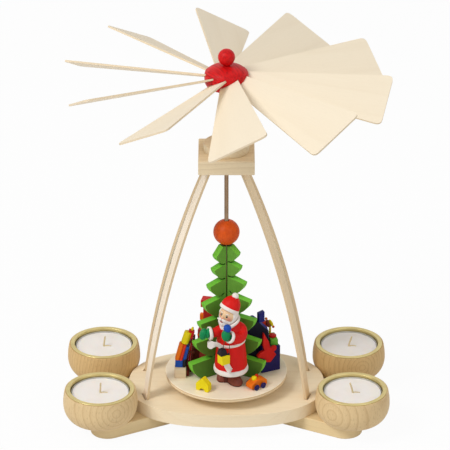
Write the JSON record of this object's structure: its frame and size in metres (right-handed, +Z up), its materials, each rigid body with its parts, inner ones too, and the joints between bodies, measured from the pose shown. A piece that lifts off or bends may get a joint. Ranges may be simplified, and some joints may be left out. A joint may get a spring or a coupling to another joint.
{
  "type": "heat-driven candle carousel",
  "caption": "Wooden table carousel: tea lights on four arms turn a slanted-blade rotor above a square block, and with it a round stage with a tree, a gift bringer and toys.",
  "frame": {"origin": "on the shaft's axis, at the underside of the arms, which is also the middle of the outline's base", "axes": "+Z up along the shaft, +X to the right and along the oval plate's length, -Y to the front, where the figure stands"},
  "size_m": [0.2192, 0.2106, 0.2643],
  "materials": {
    "maple": "sanded pale maple, clear satin lacquer",
    "blade_veneer": "thin pale wood, sanded, unpainted",
    "beech": "turned beech, satin",
    "brass": "drawn sheet brass, satin",
    "aluminium": "thin pressed aluminium, bright",
    "wax": "ivory wax, soft sheen",
    "steel": "drawn steel rod, slightly browned",
    "red_paint": "wood, stained and lacquered red",
    "orange_paint": "wood, stained and lacquered orange",
    "green_paint": "wood, stained green, matt",
    "brown_paint": "wood, painted brown, matt",
    "cream_paint": "wood, painted, matt",
    "yellow_paint": "wood, painted yellow, satin",
    "navy_paint": "wood, painted navy, satin"
  },
  "bodies": {
    "stand": {"arm_front_left": "maple", "leg_front_left": "maple", "cup_front_left": "beech", "liner_front_left": "brass", "arm_front_right": "maple", "leg_front_right": "maple", "cup_front_right": "beech", "liner_front_right": "brass", "arm_rear_left": "maple", "leg_rear_left": "maple", "cup_rear_left": "beech", "liner_rear_left": "brass", "arm_rear_right": "maple", "leg_rear_right": "maple", "cup_rear_right": "beech", "liner_rear_right": "brass", "base_plate": "maple", "lower_bearing": "brass", "top_block": "maple", "upper_bearing_boss": "maple"},
    "rotor": {"shaft": "steel", "turntable": "maple", "bead": "orange_paint", "rotor_hub": "red_paint", "finial_ball": "red_paint", "blade_01": "blade_veneer", "blade_02": "blade_veneer", "blade_03": "blade_veneer", "blade_04": "blade_veneer", "blade_05": "blade_veneer", "blade_06": "blade_veneer", "blade_07": "blade_veneer", "blade_08": "blade_veneer", "blade_09": "blade_veneer", "blade_10": "blade_veneer", "tree_vane_rear": "green_paint", "tree_vane_left": "green_paint", "tree_vane_right": "green_paint", "figure_boots": "brown_paint", "figure_robe": "red_paint", "figure_head": "cream_paint", "figure_cap": "red_paint", "figure_arm_left": "red_paint", "figure_arm_right": "red_paint", "lantern": "yellow_paint", "toy_house": "yellow_paint", "toy_car": "orange_paint", "toy_train": "orange_paint", "toy_red_chest": "red_paint", "toy_navy_chest": "navy_paint", "toy_star": "red_paint", "toy_green_chest": "green_paint"},
    "tealight_front_left": {"tealight_shell_front_left": "aluminium", "tealight_wax_front_left": "wax"},
    "tealight_front_right": {"tealight_shell_front_right": "aluminium", "tealight_wax_front_right": "wax"},
    "tealight_rear_left": {"tealight_shell_rear_left": "aluminium", "tealight_wax_rear_left": "wax"},
    "tealight_rear_right": {"tealight_shell_rear_right": "aluminium", "tealight_wax_rear_right": "wax"}
  },
  "joints": [
    {"name": "rotor_spin", "type": "hinge", "parent": "stand", "child": "rotor", "pos_m": [0, 0, 0], "axis": [0, 0, 1], "continuous": true},
    {"name": "tealight_lift_front_left", "type": "slide", "parent": "stand", "child": "tealight_front_left", "axis": [0, 0, 1], "range_m": [0, 0.03]},
    {"name": "tealight_lift_front_right", "type": "slide", "parent": "stand", "child": "tealight_front_right", "axis": [0, 0, 1], "range_m": [0, 0.03]},
    {"name": "tealight_lift_rear_left", "type": "slide", "parent": "stand", "child": "tealight_rear_left", "axis": [0, 0, 1], "range_m": [0, 0.03]},
    {"name": "tealight_lift_rear_right", "type": "slide", "parent": "stand", "child": "tealight_rear_right", "axis": [0, 0, 1], "range_m": [0, 0.03]}
  ]
}
